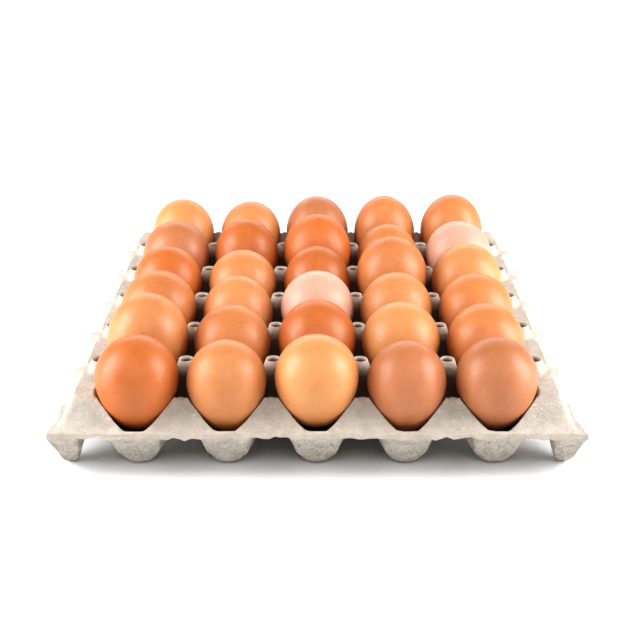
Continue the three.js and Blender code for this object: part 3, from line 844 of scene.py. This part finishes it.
def floor_material(colour):
    """A plain pale floor that glows white away from the tray, as a lit studio sweep does."""
    paint = Paint("studio_floor")
    paint.feed(paint.shader.inputs["Base Color"], colour)
    paint.shader.inputs["Roughness"].default_value = 0.7
    distance = paint.nodes.new("ShaderNodeVectorMath")
    distance.operation = "LENGTH"
    paint.feed(distance.inputs[0], paint.place)
    glow = paint.ramp(distance.outputs["Value"], GLOW_START, GLOW_END)
    paint.feed(paint.shader.inputs["Emission Strength"], glow)
    return paint.material


def studio_world():
    """A world that lights weakly but shows white behind the floor."""
    world = bpy.data.worlds.new("studio")
    world.use_nodes = True
    nodes, links = world.node_tree.nodes, world.node_tree.links
    seen = nodes.new("ShaderNodeLightPath").outputs["Is Camera Ray"]
    strength = nodes.new("ShaderNodeMath")
    strength.operation = "MAXIMUM"
    strength.inputs[1].default_value = WORLD_STRENGTH
    links.new(seen, strength.inputs[0])
    links.new(strength.outputs[0], nodes["Background"].inputs["Strength"])
    nodes["Background"].inputs["Color"].default_value = (1, 1, 1, 1)
    return world


# ---------------------------------------------------------------- add-on

def tint(name, default, description):
    """A colour that the user can change."""
    return FloatVectorProperty(name=name, description=description, default=default,
                               subtype="COLOR", size=3, min=0.0, max=1.0)


class PulpSettings(bpy.types.PropertyGroup):
    """The pulp's colour and how rough and torn it is"""
    colour: tint("Pulp", (0.60, 0.545, 0.473), "Mean colour of the pulp")
    relief: FloatProperty(name="Relief", default=0.35 * MM, min=0.0, max=1.5 * MM,
                          precision=5, unit="LENGTH",
                          description="Height of the pulp's unevenness")
    fray: FloatProperty(name="Fray", default=1.0, min=0.0, max=2.0, subtype="FACTOR",
                        description="How torn the flange's outer edge is")


class EggSettings(bpy.types.PropertyGroup):
    """The eggs' colours"""
    brown: tint("Brown", (0.50, 0.138, 0.031), "Deep orange-brown eggs")
    orange: tint("Orange", (0.56, 0.197, 0.064), "Orange-brown eggs")
    golden: tint("Golden", (0.63, 0.265, 0.094), "Golden tan eggs")
    peach: tint("Peach", (0.575, 0.225, 0.080), "Light peach-orange eggs")
    rose: tint("Rose", (0.475, 0.172, 0.071), "Pinkish brown eggs")
    pale: tint("Pale", (0.63, 0.350, 0.255), "Pale pink-tan eggs")
    variation: FloatProperty(name="Variation", default=0.06, min=0.0, max=0.3,
                             subtype="FACTOR",
                             description="How far single eggs stray from their colour")


class StageSettings(bpy.types.PropertyGroup):
    """The floor and the lights"""
    floor: tint("Floor", (0.88, 0.88, 0.89), "Colour of the floor")
    power: FloatProperty(name="Light", default=1.0, min=0.0, max=5.0, subtype="FACTOR",
                         description="Strength of the studio lights")


class EGGTRAY_OT_pulp_tray(bpy.types.Operator):
    """Moulds the pulp tray over its solid"""
    bl_idname = "eggtray.pulp_tray"
    bl_label = "Pulp tray"

    def execute(self, context):
        settings = context.scene.egg_tray_pulp
        tray = mould_tray(settings)
        tray.data.materials.clear()
        tray.data.materials.append(pulp_material(tuple(settings.colour)))
        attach(tray, "root")
        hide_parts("tray")
        return {"FINISHED"}


class EGGTRAY_OT_eggs(bpy.types.Operator):
    """Lays an egg in each cup"""
    bl_idname = "eggtray.eggs"
    bl_label = "Eggs"

    def execute(self, context):
        settings = context.scene.egg_tray_eggs
        pattern = fresh(bpy.ops.mesh.primitive_uv_sphere_add, "egg_pattern",
                        segments=EGG_SEGMENTS, ring_count=EGG_RINGS, radius=1.0)
        bpy.ops.object.shade_smooth()
        leans = egg_leans()
        for row in range(ROWS):
            for column in range(COLUMNS):
                number = row * COLUMNS + column
                node = f"egg_r{row + 1}_c{column + 1}"
                kind = EGG_KINDS[row][column]
                egg = shape_egg(pattern, node, leans[number], number)
                egg.name = egg.data.name = f"{kind}_egg_{row + 1}_{column + 1}"
                place = Vector((number * STRAY_START, *STRAY_LINE))
                stray = STRAY_GAIN * settings.variation * noise.noise(place)
                colour = tuple(c * (1 + stray) for c in getattr(settings, kind))
                egg.data.materials.clear()
                shell = eggshell_material(f"{kind}_shell_{number}", colour, number)
                egg.data.materials.append(shell)
                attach(egg, "root")
                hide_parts(node)
        bpy.data.objects.remove(pattern)
        return {"FINISHED"}


class EGGTRAY_OT_stage(bpy.types.Operator):
    """Sets the floor, the soft lights and the camera"""
    bl_idname = "eggtray.stage"
    bl_label = "Stage"

    def execute(self, context):
        settings = context.scene.egg_tray_stage
        floor = fresh(bpy.ops.mesh.primitive_plane_add, "studio_floor", size=FLOOR_SIZE)
        floor.data.materials.append(floor_material(tuple(settings.floor)))
        for name, place, size, power, aim in LIGHTS:
            data = bpy.data.lights.new(name, "AREA")
            data.shape = "RECTANGLE"
            data.size, data.size_y = size
            data.energy = power * settings.power
            lamp = bpy.data.objects.new(name, data)
            context.collection.objects.link(lamp)
            lamp.location = place
            lamp.rotation_euler = (Vector(aim) - Vector(place)).to_track_quat("-Z", "Y").to_euler()
        context.scene.world = studio_world()
        camera = bpy.data.objects.new("camera", bpy.data.cameras.new("camera"))
        context.collection.objects.link(camera)
        camera.data.lens = CAMERA_LENS
        camera.data.sensor_width = CAMERA_SENSOR
        camera.location = CAMERA_PLACE
        camera.rotation_euler = (math.radians(90 - CAMERA_DOWN), 0, 0)
        context.scene.camera = camera
        context.scene.view_settings.view_transform = "Standard"
        context.scene.view_settings.look = "Medium High Contrast"
        return {"FINISHED"}


class EGGTRAY_PT_panel(bpy.types.Panel):
    """Steps and settings of the egg tray"""
    bl_idname = "EGGTRAY_PT_panel"
    bl_label = "Egg tray"
    bl_space_type = "VIEW_3D"
    bl_region_type = "UI"
    bl_category = "Egg tray"

    def draw(self, context):
        for operator, group in STEPS:
            box = self.layout.box()
            box.operator(operator.bl_idname)
            settings = getattr(context.scene, group)
            for name in settings.__annotations__:
                box.prop(settings, name)


STEPS = (
    (EGGTRAY_OT_pulp_tray, "egg_tray_pulp"),
    (EGGTRAY_OT_eggs, "egg_tray_eggs"),
    (EGGTRAY_OT_stage, "egg_tray_stage"),
)
GROUPS = {
    "egg_tray_pulp": PulpSettings,
    "egg_tray_eggs": EggSettings,
    "egg_tray_stage": StageSettings,
}
CLASSES = (*GROUPS.values(), *(operator for operator, _ in STEPS), EGGTRAY_PT_panel)


def register():
    for cls in CLASSES:
        bpy.utils.register_class(cls)
    for name, group in GROUPS.items():
        setattr(bpy.types.Scene, name, PointerProperty(type=group))


def unregister():
    for name in GROUPS:
        delattr(bpy.types.Scene, name)
    for cls in reversed(CLASSES):
        bpy.utils.unregister_class(cls)


def main():
    register()
    bpy.ops.eggtray.pulp_tray()
    bpy.ops.eggtray.eggs()
    bpy.ops.eggtray.stage()


if __name__ == "__main__":
    main()
